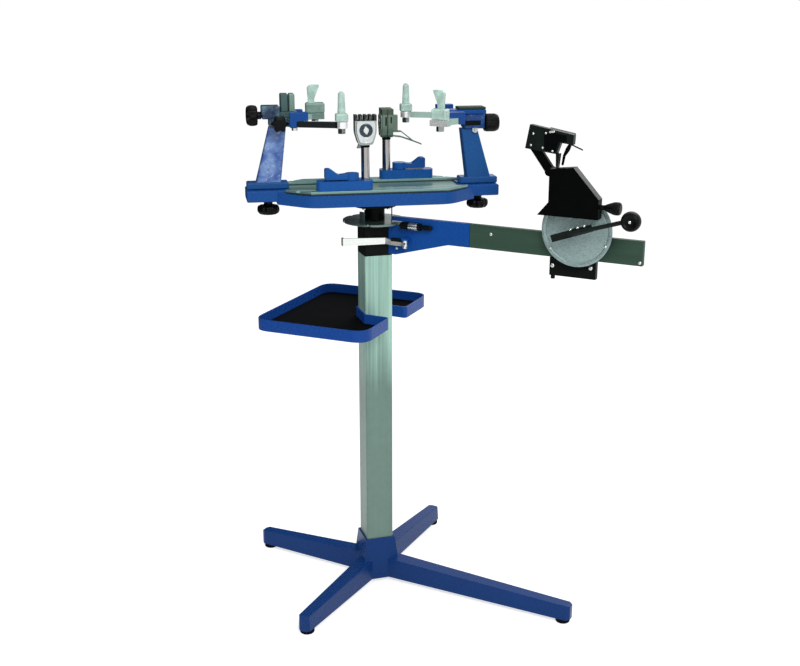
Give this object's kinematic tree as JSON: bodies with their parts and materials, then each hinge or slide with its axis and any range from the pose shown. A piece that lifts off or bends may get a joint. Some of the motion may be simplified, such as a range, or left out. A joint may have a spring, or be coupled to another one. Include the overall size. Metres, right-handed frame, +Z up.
{
  "type": "racket stringing machine",
  "caption": "Floor-standing racket stringing machine: cast base, square column with tool tray, turntable with supports and string clamps, and an arm with a crank tension head.",
  "frame": {"origin": "Middle of the floor rectangle that the whole machine covers, on the floor.", "axes": "+Z up, +X along the tension arm from the column towards the crank, -Y towards the side with the crank. At rest the turntable is turned 38.2 degrees about +Z from +X."},
  "size_m": [0.944, 0.648, 1.1506],
  "materials": {
    "blue_paint": "gloss enamel",
    "rubber": "matte",
    "column_metal": "brushed",
    "rail_metal": "dark brushed",
    "black_metal": "satin black",
    "bright_steel": "polished",
    "satin_alloy": "satin",
    "chrome": "mirror polished",
    "black_plastic": "matte",
    "pad_plastic": "translucent gloss"
  },
  "bodies": {
    "stand": {"base_casting": "blue_paint", "foot_right": "rubber", "foot_back": "rubber", "foot_left": "rubber", "foot_front": "rubber", "column_tube": "column_metal", "neck_block": "black_metal", "spindle_bearing": "bright_steel", "tool_tray": "blue_paint", "tray_liner": "rubber", "arm_bracket": "blue_paint", "tension_rail": "rail_metal", "index_housing": "black_metal"},
    "brake_lever": {"brake_lever": "bright_steel"},
    "index_pin": {"index_pin": "black_metal"},
    "turntable": {"turntable_bed": "blue_paint", "spindle": "black_metal", "brake_disc": "bright_steel", "rear_rail": "satin_alloy", "front_rail": "satin_alloy"},
    "right_tower": {"right_tower": "blue_paint", "right_yoke": "blue_paint"},
    "right_lock_knob": {"right_lock_knob": "black_plastic"},
    "right_side_knob": {"right_side_knob": "black_plastic"},
    "right_long_arm": {"right_long_arm": "satin_alloy"},
    "right_short_arm": {"right_short_arm": "satin_alloy"},
    "right_post_pad": {"right_post_pad": "pad_plastic"},
    "right_leaf_pad": {"right_leaf_pad": "pad_plastic"},
    "right_end_knob": {"right_end_knob": "black_plastic"},
    "head_support": {"head_support": "blue_paint", "head_pad": "rubber"},
    "left_tower": {"left_tower": "blue_paint", "left_yoke": "blue_paint"},
    "left_lock_knob": {"left_lock_knob": "black_plastic"},
    "left_side_knob": {"left_side_knob": "black_plastic"},
    "left_long_arm": {"left_long_arm": "satin_alloy"},
    "left_short_arm": {"left_short_arm": "satin_alloy"},
    "left_post_pad": {"left_post_pad": "pad_plastic"},
    "left_leaf_pad": {"left_leaf_pad": "pad_plastic"},
    "left_end_knob": {"left_end_knob": "black_plastic"},
    "throat_support": {"throat_support": "satin_alloy"},
    "rear_clamp": {"rear_clamp_base": "blue_paint"},
    "rear_cam": {"rear_cam_lever": "blue_paint"},
    "rear_post": {"rear_clamp_post": "chrome", "rear_clamp_head": "bright_steel"},
    "rear_jaw": {"rear_clamp_jaw": "satin_alloy"},
    "front_clamp": {"front_clamp_base": "blue_paint"},
    "front_cam": {"front_cam_lever": "blue_paint"},
    "front_post": {"front_clamp_post": "chrome", "front_clamp_head": "bright_steel"},
    "front_jaw": {"front_clamp_jaw": "satin_alloy"},
    "tension_head": {"carriage": "black_metal", "tension_cover": "black_metal"},
    "crank": {"crank_arm": "black_metal", "drum_wheel": "satin_alloy"},
    "crank_knob": {"crank_knob": "black_plastic"},
    "tension_knob": {"tension_knob": "black_plastic"},
    "gripper": {"gripper_arm": "black_metal", "gripper_head": "black_metal"},
    "gripper_jaw": {"gripper_jaw": "black_metal"}
  },
  "joints": [
    {"name": "turntable_spin", "type": "hinge", "parent": "stand", "child": "turntable", "pos_m": [-0.14801, 0, 0.9114], "axis": [0, 0, 1], "continuous": true},
    {"name": "brake_lever_swing", "type": "hinge", "parent": "stand", "child": "brake_lever", "pos_m": [-0.06101, -0.022, 0.8174], "axis": [0, 0, 1], "range_deg": [0, 35]},
    {"name": "index_pin_slide", "type": "slide", "parent": "stand", "child": "index_pin", "axis": [-1, 0, 0], "range_m": [0, 0.004]},
    {"name": "right_tower_slide", "type": "slide", "parent": "turntable", "child": "right_tower", "axis": [-0.7859, -0.6184, 0], "range_m": [0, 0.02]},
    {"name": "right_lock_knob_turn", "type": "hinge", "parent": "right_tower", "child": "right_lock_knob", "pos_m": [0.03431, 0.14347, 0.9169], "axis": [0, 0, 1], "continuous": true},
    {"name": "right_side_knob_turn", "type": "hinge", "parent": "right_tower", "child": "right_side_knob", "pos_m": [0.0015, 0.14311, 1.0828], "axis": [-0.6184, 0.7859, 0], "range_deg": [-541, 721]},
    {"name": "right_long_arm_slide", "type": "slide", "parent": "right_tower", "child": "right_long_arm", "axis": [-0.6184, 0.7859, 0], "range_m": [-0.009, 0.012]},
    {"name": "right_short_arm_slide", "type": "slide", "parent": "right_tower", "child": "right_short_arm", "axis": [0.6184, -0.7859, 0], "range_m": [-0.009, 0.012]},
    {"name": "right_post_pad_swivel", "type": "hinge", "parent": "right_long_arm", "child": "right_post_pad", "pos_m": [-0.13654, 0.1261, 1.0893], "axis": [0, 0, 1], "range_deg": [-25, 25]},
    {"name": "right_leaf_pad_swivel", "type": "hinge", "parent": "right_short_arm", "child": "right_leaf_pad", "pos_m": [0.0079, 0.00562, 1.0893], "axis": [0, 0, 1], "range_deg": [-25, 25]},
    {"name": "right_end_knob_turn", "type": "hinge", "parent": "right_tower", "child": "right_end_knob", "pos_m": [0.04138, 0.14904, 1.0713], "axis": [0.7859, 0.6184, 0], "range_deg": [-301, 301]},
    {"name": "head_support_slide", "type": "slide", "parent": "right_tower", "child": "head_support", "axis": [-0.7859, -0.6184, 0], "range_m": [-0.005, 0.005]},
    {"name": "left_tower_slide", "type": "slide", "parent": "turntable", "child": "left_tower", "axis": [0.7859, 0.6184, 0], "range_m": [0, 0.03]},
    {"name": "left_lock_knob_turn", "type": "hinge", "parent": "left_tower", "child": "left_lock_knob", "pos_m": [-0.33033, -0.14347, 0.9169], "axis": [0, 0, 1], "continuous": true},
    {"name": "left_side_knob_turn", "type": "hinge", "parent": "left_tower", "child": "left_side_knob", "pos_m": [-0.29753, -0.14311, 1.0828], "axis": [0.6184, -0.7859, 0], "range_deg": [-541, 721]},
    {"name": "left_long_arm_slide", "type": "slide", "parent": "left_tower", "child": "left_long_arm", "axis": [0.6184, -0.7859, 0], "range_m": [-0.009, 0.012]},
    {"name": "left_short_arm_slide", "type": "slide", "parent": "left_tower", "child": "left_short_arm", "axis": [-0.6184, 0.7859, 0], "range_m": [-0.009, 0.012]},
    {"name": "left_post_pad_swivel", "type": "hinge", "parent": "left_long_arm", "child": "left_post_pad", "pos_m": [-0.15556, -0.12301, 1.0893], "axis": [0, 0, 1], "range_deg": [-25, 25]},
    {"name": "left_leaf_pad_swivel", "type": "hinge", "parent": "left_short_arm", "child": "left_leaf_pad", "pos_m": [-0.29685, -0.00006, 1.0893], "axis": [0, 0, 1], "range_deg": [-25, 25]},
    {"name": "left_end_knob_turn", "type": "hinge", "parent": "left_tower", "child": "left_end_knob", "pos_m": [-0.33741, -0.14904, 1.0959], "axis": [-0.7859, -0.6184, 0], "range_deg": [-1, 721]},
    {"name": "throat_support_slide", "type": "slide", "parent": "left_tower", "child": "throat_support", "axis": [0.7859, 0.6184, 0], "range_m": [0, 0.012]},
    {"name": "rear_clamp_slide", "type": "slide", "parent": "turntable", "child": "rear_clamp", "axis": [0.7859, 0.6184, 0], "range_m": [-0.095, 0.024]},
    {"name": "rear_cam_swing", "type": "hinge", "parent": "rear_clamp", "child": "rear_cam", "pos_m": [-0.13772, 0.09527, 0.9645], "axis": [0, 0, 1], "range_deg": [0, 60]},
    {"name": "rear_post_turn", "type": "hinge", "parent": "rear_clamp", "child": "rear_post", "pos_m": [-0.15604, 0.07003, 0.9645], "axis": [0, 0, 1], "range_deg": [-15, 195]},
    {"name": "rear_jaw_open", "type": "hinge", "parent": "rear_post", "child": "rear_jaw", "pos_m": [-0.14614, 0.07782, 1.0373], "axis": [-0.6184, 0.7859, 0], "range_deg": [0, 3]},
    {"name": "front_clamp_slide", "type": "slide", "parent": "turntable", "child": "front_clamp", "axis": [-0.7859, -0.6184, 0], "range_m": [-0.1, 0.038]},
    {"name": "front_cam_swing", "type": "hinge", "parent": "front_clamp", "child": "front_cam", "pos_m": [-0.15163, -0.09001, 0.9645], "axis": [0, 0, 1], "range_deg": [0, 60]},
    {"name": "front_post_turn", "type": "hinge", "parent": "front_clamp", "child": "front_post", "pos_m": [-0.13331, -0.06478, 0.9645], "axis": [0, 0, 1], "continuous": true},
    {"name": "front_jaw_open", "type": "hinge", "parent": "front_post", "child": "front_jaw", "pos_m": [-0.1411, -0.05487, 1.0373], "axis": [-0.7859, -0.6184, 0], "range_deg": [0, 3]},
    {"name": "carriage_travel", "type": "slide", "parent": "stand", "child": "tension_head", "axis": [1, 0, 0], "range_m": [-0.065, 0.085]},
    {"name": "crank_turn", "type": "hinge", "parent": "tension_head", "child": "crank", "pos_m": [0.32599, 0, 0.88865], "axis": [0, 1, 0], "range_deg": [-325, 420]},
    {"name": "crank_knob_spin", "type": "hinge", "parent": "crank", "child": "crank_knob", "pos_m": [0.45201, -0.046, 0.9279], "axis": [0, 1, 0], "continuous": true},
    {"name": "tension_knob_turn", "type": "hinge", "parent": "tension_head", "child": "tension_knob", "pos_m": [0.37699, -0.035, 0.94265], "axis": [1, 0, 0], "continuous": true},
    {"name": "gripper_tilt", "type": "hinge", "parent": "tension_head", "child": "gripper", "pos_m": [0.25899, 0, 1.00065], "axis": [0, -1, 0], "range_deg": [0, 8], "stiffness_Nm_per_rad": 20, "springref_deg": -9.74},
    {"name": "gripper_jaw_open", "type": "slide", "parent": "gripper", "child": "gripper_jaw", "axis": [0, 1, 0], "range_m": [0, 0.003], "stiffness_N_per_m": 800, "springref_m": -0.002}
  ],
  "couplings": [
    {"joint": "right_side_knob_turn", "follows": "right_long_arm_slide", "rad_per_m": 1047.2},
    {"joint": "right_short_arm_slide", "follows": "right_long_arm_slide", "ratio": 1},
    {"joint": "right_end_knob_turn", "follows": "head_support_slide", "rad_per_m": 1047.2},
    {"joint": "left_side_knob_turn", "follows": "left_long_arm_slide", "rad_per_m": 1047.2},
    {"joint": "left_short_arm_slide", "follows": "left_long_arm_slide", "ratio": 1},
    {"joint": "left_end_knob_turn", "follows": "throat_support_slide", "rad_per_m": 1047.2},
    {"joint": "crank_turn", "follows": "carriage_travel", "rad_per_m": 85.47}
  ]
}
